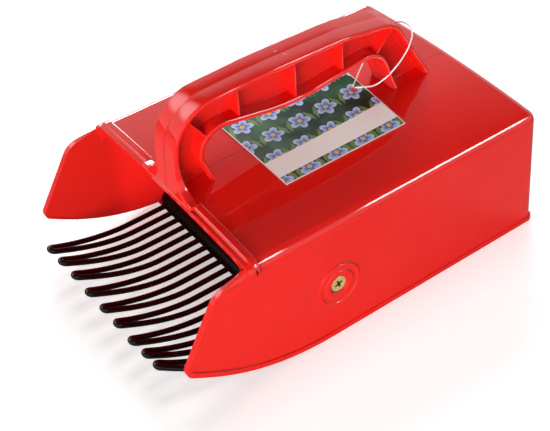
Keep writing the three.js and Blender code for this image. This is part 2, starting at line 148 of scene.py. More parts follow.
# %% Helpers for outlines, cuts and joins
round_steps, small_round_steps = 8, 4
merging, touching, near = mm / 1000, mm / 100, mm / 10


def single_point(name, place):
    bpy.ops.object.select_all(action="DESELECT")
    bpy.ops.mesh.primitive_plane_add(size=mm, location=place)
    piece = start_at_origin(bpy.context.object, name)
    with editing(piece):
        pick("VERT")
        bpy.ops.mesh.merge(type="CENTER")
    return piece


def outline(name, corners, start, depth, radii, inset=0):
    piece = single_point(name, start + corners[0])
    with editing(piece):
        for here, there in zip(corners, corners[1:]):
            push(there - here)
        pick("VERT")
        bpy.ops.mesh.edge_face_add()
        for index, radius in enumerate(radii):
            if radius:
                here = corners[index]
                before = (corners[index - 1] - here).normalized()
                after = (corners[(index + 1) % len(corners)] - here).normalized()
                pick("VERT", lambda vertex: (vertex.co - start - here).length < touching)
                bpy.ops.mesh.bevel(offset=radius / tan(acos(before.dot(after)) / 2), segments=round_steps,
                                   affect="VERTICES")
        pick("FACE")
        if inset:
            bpy.ops.mesh.inset(thickness=inset, use_even_offset=True)
            bpy.ops.mesh.select_all(action="INVERT")
            bpy.ops.mesh.delete(type="FACE")
            pick("FACE")
        push(depth)
        pick("FACE")
        bpy.ops.mesh.normals_make_consistent(inside=False)
    return piece


def combine(piece, tool, operation):
    take(piece)
    modifier = piece.modifiers.new(operation.lower(), "BOOLEAN")
    modifier.operation, modifier.object, modifier.solver = operation, tool, "EXACT"
    bpy.ops.object.modifier_apply(modifier=modifier.name)
    bpy.data.objects.remove(tool)


print("rounded corners get", round_steps, "steps, and small ones", small_round_steps)

# %% [markdown]
# ## The string
# A thin nylon string is threaded through the tag's hole and round the rear leg. It is a free cord of
# a fixed length, so it comes before the other pieces. A cord could be dropped and left to settle, but
# the photograph shows where this one lies: its route is a list of points, measured from the deck's
# front edge and joined by a smooth curve. The curve's own thickness is one, so the radius at each
# point is the string's real one.

# %% String
shell_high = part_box("body_shell")[1]
top_length, edge_height, crown_rise = 182 * mm, 73.2 * mm, 2.7 * mm
back_draft, rim_proud = 0.0262, 0.8 * mm
deck_front = shell_high.y - top_length - back_draft * edge_height - rim_proud
string_diameter = 0.8 * mm
string_route = [
    (0.7, 115.8, 81.3), (3.9, 119.3, 81.8), (5.6, 124.8, 81.2), (7.8, 129.8, 84.2), (10.6, 134.2, 90.2),
    (11.5, 139.8, 96.4), (11, 144, 101.3), (7.6, 148.4, 105.8), (2.6, 149, 107.8), (-3, 147.4, 107),
    (-8, 147, 101.8), (-11.4, 143, 95.4), (-12.2, 138, 89.2), (-11, 132, 85.4), (-7.6, 126, 83.6),
    (-4, 120.8, 83), (-0.9, 115.8, 81.6),
]
string_points = [Vector(place) * mm + Vector((0, deck_front, 0)) for place in string_route]

string_curve = bpy.data.curves.new("nylon_string", "CURVE")
string_curve.dimensions = "3D"
string_curve.bevel_depth = 1
string_curve.bevel_resolution = 3
string_curve.resolution_u = 12
string_curve.use_fill_caps = True
thread = string_curve.splines.new("BEZIER")
thread.bezier_points.add(len(string_points) - 1)
for knot, place in zip(thread.bezier_points, string_points):
    knot.co = place
    knot.radius = string_diameter / 2
    knot.handle_left_type = knot.handle_right_type = "AUTO"
nylon_string = bpy.data.objects.new("nylon_string", string_curve)
bpy.context.scene.collection.objects.link(nylon_string)
bpy.context.view_layer.update()
string_length = thread.calc_length()
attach(nylon_string, "root")
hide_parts("tag_string")
print("string is", round(string_length / mm, 1), "mm long")

# %% [markdown]
# ## The scoop
# The real scoop is one moulding with leaning walls, a slightly crowned deck and rounded edges. It
# could be built wall by wall, but then its corners wouldn't close by themselves. So it is made the
# way a mould maker thinks of it: a block for the outside, the same block a wall's thickness smaller
# for the room inside, and the side outline that trims both cheeks at once. One helper makes all
# these blocks: it spreads a cube's foot, lifts lines across its top into the crown, and rounds edges.

# %% Blocks with leaning walls
top_width, side_draft = 140 * mm, 0.0406
depth_below, reach_ahead = 20 * mm, 70 * mm
crown_cuts = 9


def round_off(radius, wanted, steps=round_steps):
    pick("EDGE", wanted)
    bpy.ops.mesh.bevel(offset=radius, segments=steps, affect="EDGES")


def leaning_block(name, side_grow, top_grow, edge_radius=0):
    half = top_width / 2 + side_grow - side_draft * top_grow
    top = edge_height + top_grow
    fall = top + depth_below
    back = deck_front + top_length + side_grow - back_draft * top_grow
    front = deck_front - reach_ahead
    middle = (0, (front + back) / 2, (top - depth_below) / 2)
    piece = cube(name, (2 * half, back - front, fall), middle)
    with editing(piece):
        pick("VERT", lambda vertex: vertex.co.z < 0)
        bpy.ops.transform.resize(value=(1 + side_draft * fall / half, 1, 1), center_override=(0, 0, 0))
        pick("VERT", lambda vertex: vertex.co.z < 0 < vertex.co.y)
        bpy.ops.transform.translate(value=(0, back_draft * fall, 0))
        pick("EDGE", lambda edge: abs((edge.verts[0].co - edge.verts[1].co).x) > half)
        bpy.ops.mesh.subdivide(number_cuts=crown_cuts)
        for cut in range(crown_cuts):
            place = half * (2 * (cut + 1) / (crown_cuts + 1) - 1)
            pick("VERT", lambda vertex: vertex.co.z > 0 and abs(vertex.co.x - place) < mm)
            bpy.ops.transform.translate(value=(0, 0, crown_rise * (1 - (place / half) ** 2)))
        if edge_radius:
            round_off(edge_radius, lambda edge: (
                all(vertex.co.z > top - near and abs(vertex.co.x) > half - near for vertex in edge.verts)
                or all(vertex.co.z > top - near and vertex.co.y > back - near for vertex in edge.verts)
                or all(vertex.co.y > back - near and abs(vertex.co.x) > half - near for vertex in edge.verts)))
    return piece


def slice_off(piece, place, normal):
    with editing(piece):
        pick("FACE")
        bpy.ops.mesh.bisect(plane_co=place, plane_no=normal, clear_outer=True, use_fill=True)
    return piece


print("the deck starts at", round(deck_front / mm, 2), "mm along Y and is", round(top_length / mm), "mm long")

# %% [markdown]
# The cheeks reach forward past the deck. Their edge runs from the deck down the brow, round the nose
# and the tip, and back along a curved sole. A raised band three millimetres wide follows that edge.
# It could be a strip swept along it. Here it is a slightly wider block with the same outline, inset
# by the band's width, cut out of it, so that both always keep together.

# %% The trimmed scoop with its band
wall, deck_radius, rim_width = 2.5 * mm, 5 * mm, 3 * mm
behind, above = 210, 100
cheek_corners = [(0, above, 0), (0, 75.1, 3.5), (-7.9, 71.4, 7), (-21.2, 68.2, 11), (-43.7, 29.6, 5)]
sole_controls = [(-19.6, 13.05), (4.5, 0), (44, 0)]
sole_skip, sole_steps = 0.09, 14


def side_outline(name, corners, half_width, inset=0):
    places = [Vector((0, y, z)) * mm for y, z, radius in corners]
    radii = [radius * mm for y, z, radius in corners]
    start, depth = Vector((-half_width, deck_front, 0)), Vector((2 * half_width, 0, 0))
    return outline(name, places, start, depth, radii, inset)


def sole_point(share):
    ends = [Vector(corner) for corner in (cheek_corners[-1][:2], *sole_controls)]
    first, second, third = (ends[index].lerp(ends[index + 1], share) for index in range(3))
    return first.lerp(second, share).lerp(second.lerp(third, share), share)


def cheek_outline(name, inset=0):
    sole = [sole_point(sole_skip + (1 - sole_skip) * step / sole_steps) for step in range(sole_steps + 1)]
    corners = [*cheek_corners, *((y, z, 0) for y, z in sole), (behind, 0, 0), (behind, above, 0)]
    return side_outline(name, corners, top_width, inset)


scoop = leaning_block("scoop", 0, 0, deck_radius)
band = leaning_block("band", rim_proud, -rim_proud, deck_radius)
band_back = deck_front + top_length + rim_proud / 3
slice_off(band, (0, band_back, edge_height), (0, 1, back_draft))
combine(band, cheek_outline("inside_of_band", rim_width), "DIFFERENCE")
combine(scoop, band, "UNION")
combine(scoop, cheek_outline("cheek_cut"), "INTERSECT")
mouth = slice_off(leaning_block("mouth", -wall, depth_below), (0, deck_front, 0), (0, 1, 0))
combine(scoop, mouth, "DIFFERENCE")
print("scoop has", len(scoop.data.polygons), "faces")

# %% [markdown]
# The deck ends in a lip with a rounded bead on top. On the left the bead ends in a round nose short
# of the handle, and on the right it runs on from the handle's foot. Both follow the crown and the
# leaning walls, so they are slices of the same block, grown a little, and not bars laid on top. Under
# the lip a block fills each corner of the mouth, which the room inside will cut to a round corner.

# %% The lip and its bead
lip_front, lip_back, lip_low = deck_front - 3 * mm, deck_front + 1.6 * mm, 68 * mm
lip_proud, lip_rise = 1.3 * mm, 0.6 * mm
bead_front, bead_back, bead_ends = lip_front + 2.5 * mm, deck_front + 4.4 * mm, {-1: -21.5 * mm, 1: 16 * mm}
bead_proud, bead_radius, bead_nose = 1.6 * mm, 1.2 * mm, 2.4 * mm
corner_front, corner_low = lip_front + mm, 58 * mm


def trimmed_block(name, side_grow, top_grow, edge_radius, front, back, low):
    block = leaning_block(name, side_grow, top_grow, edge_radius)
    slice_off(block, (0, front, 0), (0, -1, 0))
    slice_off(block, (0, back, 0), (0, 1, 0))
    return slice_off(block, (0, 0, low), (0, 0, -1))


corners = trimmed_block("mouth_corners", -wall / 2, -wall / 2, 0, corner_front, lip_back, corner_low)
combine(scoop, corners, "UNION")
lip = trimmed_block("lip", lip_proud, lip_rise, deck_radius, lip_front, lip_back, lip_low)
combine(scoop, lip, "UNION")
for side, end in bead_ends.items():
    bead = trimmed_block(
        "bead", lip_proud, bead_proud, deck_radius + bead_proud, bead_front, bead_back, lip_low)
    slice_off(bead, (end, 0, 0), (-side, 0, 0))
    with editing(bead):
        round_off(bead_nose, lambda edge: (
            all(abs(vertex.co.x - end) < near for vertex in edge.verts)
            and abs(edge.verts[0].co.z - edge.verts[1].co.z) > mm))
        round_off(bead_radius, lambda edge: (
            edge.calc_face_angle() > radians(50)
            and min(vertex.co.z for vertex in edge.verts) > lip_low + mm), small_round_steps)
    combine(scoop, bead, "UNION")
print("scoop with its lip has", len(scoop.data.polygons), "faces")

# %% [markdown]
# ## The handle
# The handle is an I section bent into a loop: two flanges with a thin web between them. It could be
# put together from strips, but a mould fills it as one form. Its outline is drawn once. Each side
# face is then inset by the flange's thickness and pushed in as far as the web, and the flanges'
# edges are rounded.

# %% The handle with its pockets
handle_width, web, flange, flange_radius = 19.2 * mm, 3 * mm, 2.8 * mm, 1.1 * mm
foot_height = 70.9
handle_outer = [
    (-3, foot_height, 0), (1.5, 122.4, 24), (56, 123.85, 200), (104, 122.6, 80), (136.5, 117.6, 14),
    (163.5, foot_height, 0),
]
handle_inner = [
    (137, foot_height, 0), (125, 103.3, 12), (70, 96.5, 100), (15.8, 106.5, 13), (15.8, 90, 20),
    (22.8, foot_height, 0),
]
handle_corners = handle_outer + handle_inner
handle = side_outline("handle_loop", handle_corners, handle_width / 2)
with editing(handle):
    for side in (-1, 1):
        pick("FACE", lambda face: face.normal.x * side > 0.99)
        bpy.ops.mesh.inset(thickness=flange, use_even_offset=True)
        pick("FACE", lambda face: face.normal.x * side > 0.99 and len(face.verts) > 4)
        push((-side * (handle_width - web) / 2, 0, 0))
    round_off(flange_radius, lambda edge: (
        edge.calc_face_angle() > radians(60)
        and all(abs(vertex.co.x) > handle_width / 2 - touching for vertex in edge.verts)), small_round_steps)
print("handle loop has", len(handle.data.polygons), "faces")

# %% [markdown]
# Five ribs brace the web. Each could be extruded out of the web's faces, but a plate is easier to
# place: it lies along the line between two points, and the handle's outline, taken half a flange
# smaller, trims it, so that its ends are buried in the flanges.

# %% Ribs
rib, rib_inset = 1.1 * mm, 1.6 * mm
rib_ends = [
    ((6.1, 120.6), (20.2, 99.8)), ((38.5, 124.9), (38.5, 92)), ((72.6, 124.9), (72.6, 92)),
    ((102.3, 124.9), (102.3, 92)), ((138, 116.8), (123.5, 101.1)),
]
for low_end, high_end in rib_ends:
    low, high = (Vector((0, y, z)) * mm + Vector((0, deck_front, 0)) for y, z in (low_end, high_end))
    along = high - low
    size, turn = (handle_width - 2 * rib_inset, rib, along.length - flange), (-atan(along.y / along.z), 0, 0)
    plate = cube("rib", size, (low + high) / 2, turn)
    combine(plate, side_outline("between_flanges", handle_corners, handle_width, flange / 2), "INTERSECT")
    combine(handle, plate, "UNION")
print("handle with", len(rib_ends), "ribs has", len(handle.data.polygons), "faces")

# %% [markdown]
# The front leg widens into a flare where it stands on the lip. The leg's own faces could be pulled
# out, but the flare has round hollows at its sides, so it is a flat outline of its own. It is made
# thinner towards its top by one slanting cut, its front edges are rounded, and it is then tipped
# about its foot until it leans as the leg does.

# %% The flare of the front leg
flare_half, flare_low, flare_top, flare_depth = 22, 77.8, 15, 5
flare_thin, flare_round_from = 0.9 * flange / mm, 72 * mm
leg_half = handle_width / mm / 2
flare_corners = [
    (-flare_half, foot_height, 0), (flare_half, foot_height, 0), (flare_half, flare_low, 0),
    (leg_half, flare_low, flare_half - leg_half), (leg_half, flare_low + flare_top, 0),
    (-leg_half, flare_low + flare_top, 0), (-leg_half, flare_low, flare_half - leg_half),
    (-flare_half, flare_low, 0),
]
flare = outline(
    "flare", [Vector((x, 0, z)) * mm for x, z, radius in flare_corners], Vector((0, lip_front, 0)),
    Vector((0, flare_depth * mm, 0)), [radius * mm for x, z, radius in flare_corners])
taper = atan((flare_depth - flare_thin) / flare_top)
slice_off(flare, (0, lip_front + flare_depth * mm, flare_low * mm), (0, cos(taper), sin(taper)))
with editing(flare):
    round_off(flange_radius, lambda edge: all(
        vertex.co.z > flare_round_from and vertex.co.y < lip_front + touching for vertex in edge.verts),
        small_round_steps)
foot, head = handle_outer[:2]
leg_lean = atan((head[0] - foot[0]) / (head[1] - foot[1]))
hinge = Matrix.Translation((0, lip_front, foot_height * mm))
flare.matrix_world = hinge @ Matrix.Rotation(-leg_lean, 4, "X") @ hinge.inverted()
combine(handle, start_at_origin(flare, "flare"), "UNION")
combine(scoop, handle, "UNION")
print("scoop and handle have", len(scoop.data.polygons), "faces")

# %% [markdown]
# Now the room inside is taken out, after the handle has been joined on, so that nothing of it hangs
# under the deck. The room's top corners are rounder than the outside, which gives the mouth its
# round corners.

# %% The room inside
mouth_radius = 10 * mm
combine(scoop, leaning_block("room", -wall, -wall, mouth_radius), "DIFFERENCE")
print("hollow scoop has", len(scoop.data.polygons), "faces")

# %% [markdown]
# Each side wall has a round boss for its screw: a low ring, a raised disc inside it and a dish for
# the head. Stacked cylinders would leave the ring square, so the profile is drawn once, with a half
# circle for the ring, spun round the screw's axis, and stood square to the wall.

# %% Screw bosses
screw_place, screw_height = 48.4 * mm, 33 * mm
boss_radius, boss_floor, ring_radius, ring_bend = 12.9 * mm, 0.15 * mm, 12.1 * mm, 0.75 * mm
disc_radius, disc_proud, dish_radius, head_seat = 8.4 * mm, 0.9 * mm, 5.3 * mm, 4.8 * mm
screw_hole, cone_low, cone_high, past_wall = 3.4 * mm, 1.9 * mm, 0.5 * mm, 4 * wall
turn_steps, bend_cuts = 64, 6


def spun(name, profile, steps=turn_steps):
    piece = single_point(name, (profile[0][1], 0, profile[0][0]))
    with editing(piece):
        for (radius, place), (next_radius, next_place) in zip(profile, profile[1:]):
            push((next_place - place, 0, next_radius - radius))
        pick("VERT")
        bpy.ops.mesh.spin(steps=steps, angle=2 * pi, center=(0, 0, 0), axis=(1, 0, 0))
        pick("VERT")
        bpy.ops.mesh.remove_doubles(threshold=merging)
        bpy.ops.mesh.normals_make_consistent(inside=False)
    return piece


def at_screw(piece, side):
    lean = atan(side_draft)
    half_width = top_width / 2 + side_draft * (edge_height - screw_height)
    place = Matrix.Translation((side * half_width, deck_front + screw_place, screw_height))
    turn = Matrix.Rotation(pi if side < 0 else 0, 4, "Z") @ Matrix.Rotation(-lean, 4, "Y")
    piece.matrix_world = place @ turn
    return start_at_origin(piece, piece.name)


bends = [pi * cut / bend_cuts for cut in range(bend_cuts + 1)]
ring = [(ring_radius + ring_bend * cos(bend), boss_floor + ring_bend * sin(bend)) for bend in bends]
for side in (-1, 1):
    boss = spun("boss", [
        (0, -wall / 2), (boss_radius, -wall / 2), (boss_radius, -boss_floor), *ring,
        (disc_radius + disc_proud / 2, boss_floor), (disc_radius, disc_proud), (0, disc_proud),
    ])
    combine(scoop, at_screw(boss, side), "UNION")
    recess = spun("recess", [
        (0, -past_wall), (screw_hole, -past_wall), (screw_hole, -cone_low), (head_seat, -cone_high),
        (head_seat, 0), (dish_radius, 0), (dish_radius + disc_proud / 2, disc_proud),
        (dish_radius + disc_proud / 2, past_wall), (0, past_wall),
    ])
    combine(scoop, at_screw(recess, side), "DIFFERENCE")
print("moulding has", len(scoop.data.polygons), "faces")

# %% [markdown]
# A mould never leaves a sharp edge. Each edge could be rounded as it is made, but one narrow bevel
# over every edge that is still sharp treats all alike. The shading is kept smooth across it, so the
# edges catch a thin line of light.

# %% Fine edges on the moulding
fine_radius, fine_steps, sharp_angle = 0.3 * mm, 2, radians(38)


def finish_edges(piece, radius):
    take(piece)
    bevel = piece.modifiers.new("fine_edges", "BEVEL")
    bevel.width, bevel.segments = radius, fine_steps
    bevel.limit_method, bevel.angle_limit = "ANGLE", sharp_angle
    bevel.use_clamp_overlap = False
    bpy.ops.object.modifier_apply(modifier=bevel.name)
    bpy.ops.object.shade_smooth_by_angle(angle=sharp_angle)
    weights = piece.modifiers.new("even_shading", "WEIGHTED_NORMAL")
    weights.keep_sharp = True
    bpy.ops.object.modifier_apply(modifier=weights.name)


with editing(scoop):
    pick("VERT")
    bpy.ops.mesh.remove_doubles(threshold=touching)
finish_edges(scoop, fine_radius)
moulding = start_at_origin(scoop, "scoop_and_handle")
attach(moulding, "root")
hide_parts("body_shell", "handle")
print("finished moulding has", len(moulding.data.polygons), "faces")

# %% [markdown]
# ## The comb
# The comb is nine hairpins of steel wire, dipped in black plastic together with the bar that holds
# them. The legs could be drawn by eye, but they rise by one rule, so their points are computed: two
# legs that rise ever faster, and a half circle at the tip. The dip is a little thicker there, where
# it dripped, and no two tips stand quite alike.

# %% The course of a hairpin
wire_diameter, wire_pitch, wire_height = 3.1 * mm, 7.17 * mm, 5.1 * mm
comb_reach, tip_rise, rise_power = 48.6 * mm, 14.8 * mm, 1.72
tip_bend, tip_swell, swell_power = 1.75 * mm, 1.08, 12
root_depth, leg_steps, bend_steps = 33 * mm, 12, 8
tip_shift_shares = [0.38, 0.06, -0.05, 0.1, 0.15, 0, 0.04, -0.38, -1]
tip_reach_shares = [1.012, 1.006, 0.998, 1.004, 0.996, 0.992, 0.996, 0.974, 0.964]
loop_count = len(tip_shift_shares)


def hairpin(loop):
    root = (loop - (loop_count - 1) / 2) * 2 * wire_pitch
    tip = root + wire_pitch * tip_shift_shares[loop]
    bend = tip_bend + (tip_swell - 1) * wire_diameter / 2 - comb_reach * tip_reach_shares[loop]
    legs = []
    for side in (-1, 1):
        start = root + side * wire_pitch / 2
        leg = [(Vector((start, root_depth, wire_height)), 1)]
        for step in range(leg_steps + 1):
            share = step / leg_steps
            rise = share ** rise_power
            across = start + (tip + side * tip_bend - start) * rise
            place = Vector((across, bend * share, wire_height + tip_rise * rise))
            leg.append((place, 1 + (tip_swell - 1) * share ** swell_power))
        legs.append(leg)
    slope = -tip_rise * rise_power / bend
    arc = []
    for step in range(1, bend_steps):
        angle = pi * step / bend_steps
        ahead = tip_bend * sin(angle)
        place = Vector((tip - tip_bend * cos(angle), bend - ahead, wire_height + tip_rise + ahead * slope))
        arc.append((place, tip_swell))
    return [*legs[0], *arc, *reversed(legs[1])]


print("a hairpin has", len(hairpin(0)), "points")

# %% [markdown]
# A wire could be a chain of cylinders, but a curve with a round section keeps its thickness through
# every bend. It is then made a mesh.

# %% Wire loops
def bent_wire(name, points, diameter):
    line = bpy.data.curves.new(name, "CURVE")
    line.dimensions = "3D"
    line.bevel_depth = diameter / 2
    line.bevel_resolution = 4
    line.resolution_u = 3
    line.use_fill_caps = True
    path = line.splines.new("BEZIER")
    path.bezier_points.add(len(points) - 1)
    for knot, (place, swell) in zip(path.bezier_points, points):
        knot.co = place + Vector((0, deck_front, 0))
        knot.radius = swell
        knot.handle_left_type = knot.handle_right_type = "AUTO"
    wire = bpy.data.objects.new(name, line)
    bpy.context.scene.collection.objects.link(wire)
    take(wire)
    bpy.ops.object.convert(target="MESH")
    with editing(bpy.context.object):
        pick("VERT")
        bpy.ops.mesh.remove_doubles(threshold=merging)
    bpy.ops.object.shade_smooth_by_angle(angle=radians(60))
    return bpy.context.object


wires = []
for loop in range(loop_count):
    wire = bent_wire(f"wire_loop_{loop + 1}", hairpin(loop), wire_diameter)
    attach(wire, "root")
    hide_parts(f"comb_tine_{loop + 1}")
    wires.append(wire)
print(len(wires), "wire loops of", len(wires[0].data.polygons), "faces each")

# %% [markdown]
# The bar is a block with round ends and a rounded top. The frame already has it as a plain form, so
# its size is read from there, and only the rounding is new. The wires run straight into its front.

# %% Bar
bar_low, bar_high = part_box("comb_bar")
bar_end_radius, bar_top_radius, bar_fine_radius = 5 * mm, 2.4 * mm, mm / 5
bar_top_steps = 5
bar = cube("dipped_bar", bar_high - bar_low, (bar_low + bar_high) / 2)
with editing(bar):
    round_off(bar_end_radius, lambda edge: abs((edge.verts[0].co - edge.verts[1].co).z) > mm)
    round_off(bar_top_radius, lambda edge: (
        min(vertex.co.z for vertex in edge.verts) > bar_high.z - near
        and edge.calc_face_angle() > radians(60)), bar_top_steps)
finish_edges(bar, bar_fine_radius)
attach(bar, "root")
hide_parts("comb_bar")
print("bar has", len(bar.data.polygons), "faces")

# %% [markdown]
# ## Screws
# A countersunk screw with a cross recess holds each side wall. A cone and a cylinder would do for the
# body, but the profile can be spun like the bosses, with its edges broken. The recess is cut with two
# blocks that are narrower at the bottom, as the point of a screwdriver is.

# %% Side screws
screw_head, screw_shank, screw_sink = 4.5 * mm, 2.25 * mm, 0.2 * mm
screw_length, screw_point, head_edge, screw_fine_radius = 11 * mm, mm / 2, mm / 10, 0.08 * mm
cross_width, cross_length, cross_depth = 1.7 * mm, 7 * mm, 2.8 * mm
cross_taper, cross_turn, screw_steps = (1, 0.4, 0.5), radians(20), 48


def cross_blade(turn):
    blade = cube("blade", (2 * cross_depth, cross_length, cross_width))
    with editing(blade):
        pick("FACE", lambda face: face.normal.x < -0.9)
        bpy.ops.transform.resize(value=cross_taper, center_override=(-cross_depth, 0, 0))
    blade.rotation_euler.x = turn
    return start_at_origin(blade, "blade")


screws = []
for side, hand in ((-1, "left"), (1, "right")):
    screw = spun(f"cross_screw_{hand}", [
        (0, -screw_length), (screw_shank - screw_point, -screw_length),
        (screw_shank, screw_point - screw_length), (screw_shank, -screw_sink - screw_head + screw_shank),
        (screw_head, -screw_sink - head_edge), (screw_head - head_edge, -screw_sink), (0, -screw_sink),
    ], screw_steps)
    for turn in (cross_turn, cross_turn + pi / 2):
        combine(screw, cross_blade(turn), "DIFFERENCE")
    at_screw(screw, side)
    finish_edges(screw, screw_fine_radius)
    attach(screw, "root")
    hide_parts(f"side_screw_{hand}")
    screws.append(screw)
print("screws have", len(screw.data.polygons), "faces each")

# %% [markdown]
# ## The tag
# The tag is a card that lies on the crowned deck, and its string lifts one rear corner. It could be
# dropped there as cloth, but a stiff card bends by a simple rule: its height is worked out from its
# place. A grid gives it enough faces to bend, and a cylinder punches the hole.

# %% Tag
tag_left, tag_front, tag_width, tag_length = -22.5 * mm, 45 * mm, 58 * mm, 76 * mm
tag_lift, tag_gap, card_thickness, tag_cells = 6.2 * mm, 0.35 * mm, 0.4 * mm, 24
tag_hole, tag_hole_inset, punch_depth, punch_sides = 2 * mm, 5.5 * mm, 10 * mm, 32


def tag_height(x, y):
    across = (tag_left + tag_width - x) / tag_width
    along = max((y - deck_front - tag_front) / tag_length, 0)
    crown = edge_height + crown_rise * (1 - (2 * x / top_width) ** 2)
    return crown + tag_gap + tag_lift * across * along ** 2


bpy.ops.object.select_all(action="DESELECT")
bpy.ops.mesh.primitive_grid_add(
    x_subdivisions=tag_cells, y_subdivisions=tag_cells, size=1,
    location=(tag_left + tag_width / 2, deck_front + tag_front + tag_length / 2, 0))
bpy.context.object.scale = (tag_width, tag_length, 1)
tag = start_at_origin(bpy.context.object, "card_tag")
with editing(tag):
    pick("FACE")
    push((0, 0, card_thickness))
    pick("FACE")
    bpy.ops.mesh.normals_make_consistent(inside=False)
hole_place = (0, deck_front + tag_front + tag_length - tag_hole_inset, 0)
bpy.ops.object.select_all(action="DESELECT")
bpy.ops.mesh.primitive_cylinder_add(
    vertices=punch_sides, radius=tag_hole, depth=punch_depth, location=hole_place)
combine(tag, start_at_origin(bpy.context.object, "punch"), "DIFFERENCE")
for vertex in tag.data.vertices:
    vertex.co.z += tag_height(vertex.co.x, vertex.co.y)
take(tag)
bpy.ops.object.shade_smooth_by_angle(angle=radians(40))
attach(tag, "root")
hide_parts("hang_tag")
print("tag has", len(tag.data.polygons), "faces")

# %% [markdown]
# ## Finishes
# A finish is a Principled shader with a few nodes in front of it. The nodes could be wired one by one,
# but one small class stands for a number on its way through them, so that shader maths reads like
# ordinary sums, and another one builds the material. Patterns read Object coordinates: every piece
# lies at the origin, so a pattern sits at its real place in metres.

class Flow:
    def __init__(self, graph, socket):
        self.graph, self.socket = graph, socket

    def maths(self, operation, *others):
        return self.graph.maths(operation, self, *others)

    def __add__(self, other):
        return self.maths("ADD", other)

    def __sub__(self, other):
        return self.maths("SUBTRACT", other)

    def __rsub__(self, other):
        return self.graph.maths("SUBTRACT", other, self)

    def __mul__(self, other):
        return self.maths("MULTIPLY", other)

    def __truediv__(self, other):
        return self.maths("DIVIDE", other)

    def __abs__(self):
        return self.maths("ABSOLUTE")

    __radd__, __rmul__ = __add__, __mul__

    def ramp(self, low, high):
        places = {"Value": self, "From Min": low, "From Max": high}
        return self.graph.node("ShaderNodeMapRange", {"interpolation_type": "SMOOTHSTEP"}, places)


class Graph:
    def __init__(self, tree):
        self.tree = tree

    def node(self, kind, settings, values, output=0):
        made = self.tree.nodes.new(kind)
        for key, value in settings.items():
            setattr(made, key, value)
        for key, value in values.items():
            self.feed(made.inputs[key], value)
        return Flow(self, made.outputs[output])

    def feed(self, socket, value):
        if isinstance(value, Flow):
            self.tree.links.new(value.socket, socket)
        else:
            socket.default_value = value

    def maths(self, operation, *values):
        return self.node("ShaderNodeMath", {"operation": operation}, dict(enumerate(values)))

    def axes(self, place):
        return [self.node("ShaderNodeSeparateXYZ", {}, {"Vector": place}, axis) for axis in ("X", "Y", "Z")]

    def mixed(self, share, first, second):
        return self.node("ShaderNodeMix", {"data_type": "RGBA"}, {0: share, 6: first, 7: second}, 2)


class Finish(Graph):
    def __init__(self, name, constants):
        self.material = bpy.data.materials.new(name)
        self.material.use_nodes = True
        super().__init__(self.material.node_tree)
        self.shader = self.tree.nodes["Principled BSDF"]
        for socket, value in constants.items():
            self.give(socket, value)
        self.place = self.node("ShaderNodeTexCoord", {}, {}, "Object")
        self.x, self.y, self.z = self.axes(self.place)

    def give(self, socket, value):
        self.feed(self.shader.inputs[socket], value)

    def noise(self, size, detail=3, stretch=(1, 1, 1)):
        spread = self.node("ShaderNodeMapping", {}, {"Vector": self.place, "Scale": stretch})
        values = {"Vector": spread, "Scale": 1 / size, "Detail": detail}
        return self.node("ShaderNodeTexNoise", {}, values, "Fac")

    def near(self, x, y):
        across, along = self.x - x, self.y - y
        return (across * across + along * along).maths("SQRT")

    def bumped(self, height, depth):
        values = {"Height": height, "Distance": depth, "Strength": 1}
        self.give("Normal", self.node("ShaderNodeBump", {}, values))

    def paint(self, *pieces):
        for piece in pieces:
            piece.data.materials.clear()
            piece.data.materials.append(self.material)


def colour(red, green, blue):
    return (red, green, blue, 1)


print("the kit for finishes is ready")

# %% [markdown]
# ### Red plastic
# The scoop is polished polypropylene: a saturated red whose gloss mirrors the room. One plain colour
# would look like paint. The surface is never quite even, so a broad noise changes the colour by a few
# percent, a fine one the roughness, and a very low bump gives the slight orange peel of a moulding.
# The mould's halves meet in a fine line that runs along the legs of the handle and the deck. It is a
# groove in the bump, painted a darker red as painted shade in it. A core pin has left a faint ring on
# the deck, and two gate marks sit on the grip. Light passes through the thin walls and fills the room
# inside: a weak glow, which is painted light, stands for it, and fades out towards the mouth.

# %% Red plastic
glow_rise, room_top = (-4 * mm, 12 * mm), (75 * mm, 76 * mm)
seam_width, seam_bottom, seam_top = (0.1 * mm, 0.5 * mm), (75.5 * mm, 75.6 * mm), (112 * mm, 118 * mm)
pin_place, pin_radius, pin_width = (-54.4 * mm, deck_front + 15.1 * mm), 8 * mm, 0.8 * mm
gate_places = [(-2.5 * mm, deck_front + 69 * mm), (2.5 * mm, deck_front + 71 * mm)]
gate_size, grip_height = 0.9 * mm, 110 * mm
above_deck, up_the_leg = (75 * mm, 75.1 * mm), (85 * mm, 105 * mm)


